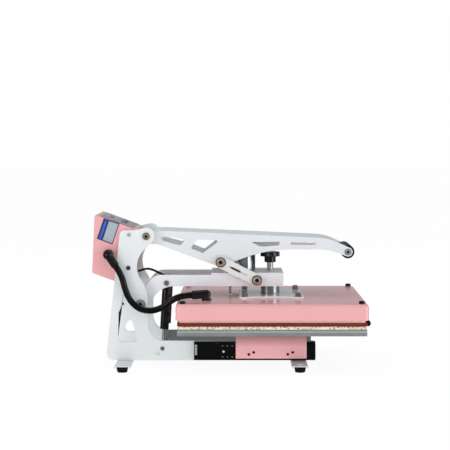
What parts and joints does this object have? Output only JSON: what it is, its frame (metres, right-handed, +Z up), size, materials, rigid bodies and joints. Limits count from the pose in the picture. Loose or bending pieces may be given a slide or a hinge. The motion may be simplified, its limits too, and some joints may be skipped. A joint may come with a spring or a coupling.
{
  "type": "auto-open heat press",
  "caption": "Clamshell heat press with a padded platen on drawer slides, a hinged heated head held by a magnet, gas springs and a long pull-down handle.",
  "frame": {"origin": "middle of the press's bounding box at table height, on the soles of the rubber feet", "axes": "+X points to the front where the operator stands and the lower platen slides out, +Y to the operator's right, +Z up"},
  "size_m": [0.5857, 0.3874, 0.3138],
  "materials": {
    "white_paint": "satin powder coat",
    "pink_paint": "satin powder coat",
    "black_rail": "satin",
    "black_rubber": "matt",
    "black_plastic": "satin",
    "zinc_steel": "zinc plated",
    "bolt_steel": "nickel plated, polished",
    "black_steel": "gloss",
    "bright_steel": "bright",
    "chrome": "polished",
    "platen_aluminium": "satin",
    "red_coating": "satin non-stick",
    "cream_silicone": "matt, speckled",
    "mineral_wool": "fibrous",
    "circuit_board": "satin",
    "grey_film": "satin film",
    "tinted_window": "gloss"
  },
  "bodies": {
    "root": {"side_plate_left": "white_paint", "side_plate_right": "white_paint", "cross_bars": "white_paint", "rubber_feet": "black_rubber", "frame_screws": "zinc_steel", "rear_spreader": "white_paint", "cross_rods": "zinc_steel", "pivot_shafts": "bolt_steel", "pivot_spacers": "zinc_steel", "control_box_shell": "pink_paint", "control_box_sides": "pink_paint", "control_panel": "grey_film", "display_window": "tinted_window", "control_board": "circuit_board", "power_modules": "black_plastic", "power_inlet": "black_plastic", "box_cable_glands": "black_plastic", "conduit": "black_rubber", "magnet_wire": "black_rubber", "slide_outer_rails": "black_rail"},
    "arm": {"arm_plate_left": "white_paint", "arm_plate_right": "white_paint", "arm_top_plate": "white_paint", "arm_bottom_plate": "white_paint", "arm_pivot_tube": "black_steel", "nut_block": "zinc_steel", "spring_top_shaft": "zinc_steel", "electromagnet": "chrome"},
    "head": {"coated_face": "red_coating", "heat_platen": "platen_aluminium", "heating_element": "zinc_steel", "insulation": "mineral_wool", "head_cover": "pink_paint", "cover_screws": "black_steel", "head_elbow_gland": "black_plastic", "bridge_plate": "bright_steel", "bridge_studs": "zinc_steel", "pressure_cup": "chrome"},
    "screw": {"pressure_screw": "bright_steel", "pressure_knob": "black_plastic"},
    "handle": {"handle_frame": "white_paint", "grip_roll": "black_rubber", "grip_tube": "zinc_steel", "magnet_keeper": "black_steel", "link_upper_bolts": "bolt_steel"},
    "links": {"side_links": "white_paint", "link_lower_bolts": "bolt_steel"},
    "spring_cylinders": {"gas_spring_cylinders": "black_steel"},
    "spring_rods": {"gas_spring_rods": "bright_steel"},
    "slide_middle": {"slide_middle_rails": "black_rail"},
    "drawer": {"slide_inner_rails": "black_rail", "slide_brackets": "pink_paint", "bracket_screws": "black_steel", "lower_platen": "platen_aluminium", "silicone_pad": "cream_silicone", "drawer_pull": "black_steel"},
    "menu_key": {"menu_button": "black_plastic"},
    "down_key": {"down_button": "black_plastic"},
    "up_key": {"up_button": "black_plastic"},
    "rocker": {"power_switch": "black_plastic"}
  },
  "joints": [
    {"name": "arm_hinge", "type": "hinge", "parent": "root", "child": "arm", "pos_m": [-0.19, 0, 0.1297], "axis": [0, -1, 0], "range_deg": [0, 40], "deforming": ["conduit", "magnet_wire"]},
    {"name": "handle_hinge", "type": "hinge", "parent": "root", "child": "handle", "pos_m": [-0.1782, 0, 0.27], "axis": [0, -1, 0], "range_deg": [0, 70.3]},
    {"name": "link_hinge", "type": "hinge", "parent": "handle", "child": "links", "pos_m": [-0.024, 0, 0.21539], "axis": [0, -1, 0], "range_deg": [-106.5, 0]},
    {"name": "spring_hinge", "type": "hinge", "parent": "arm", "child": "spring_cylinders", "pos_m": [-0.137, 0, 0.1713], "axis": [0, -1, 0], "range_deg": [-25.5, 0]},
    {"name": "spring_stroke", "type": "slide", "parent": "spring_cylinders", "child": "spring_rods", "axis": [-0.0546, 0, -0.9985], "range_m": [0, 0.0275]},
    {"name": "head_lift", "type": "slide", "parent": "arm", "child": "head", "axis": [0, 0, 1], "range_m": [0, 0.004]},
    {"name": "knob_turn", "type": "hinge", "parent": "head", "child": "screw", "pos_m": [0.0805, 0, 0.2], "axis": [0, 0, 1], "range_deg": [0, 720]},
    {"name": "drawer_travel", "type": "slide", "parent": "root", "child": "drawer", "axis": [1, 0, 0], "range_m": [0, 0.2]},
    {"name": "slide_middle_travel", "type": "slide", "parent": "root", "child": "slide_middle", "axis": [1, 0, 0], "range_m": [0, 0.1]},
    {"name": "menu_press", "type": "slide", "parent": "root", "child": "menu_key", "axis": [-0.3445, 0, -0.9388], "range_m": [0, 0.0012], "stiffness_N_per_m": 300, "springref_m": -0.002},
    {"name": "down_press", "type": "slide", "parent": "root", "child": "down_key", "axis": [-0.3445, 0, -0.9388], "range_m": [0, 0.0012], "stiffness_N_per_m": 300, "springref_m": -0.002},
    {"name": "up_press", "type": "slide", "parent": "root", "child": "up_key", "axis": [-0.3445, 0, -0.9388], "range_m": [0, 0.0012], "stiffness_N_per_m": 300, "springref_m": -0.002},
    {"name": "rocker_turn", "type": "hinge", "parent": "root", "child": "rocker", "pos_m": [-0.28698, 0.037, 0.25021], "axis": [0, -1, 0], "range_deg": [0, 24]}
  ],
  "couplings": [
    {"joint": "handle_hinge", "follows": "arm_hinge", "ratio": 1.7562},
    {"joint": "link_hinge", "follows": "arm_hinge", "ratio": -2.6599},
    {"joint": "spring_hinge", "follows": "arm_hinge", "ratio": -0.6365},
    {"joint": "spring_stroke", "follows": "arm_hinge", "m_per_rad": 0.03913},
    {"joint": "knob_turn", "follows": "head_lift", "rad_per_m": 3141.6},
    {"joint": "slide_middle_travel", "follows": "drawer_travel", "ratio": 0.5}
  ]
}
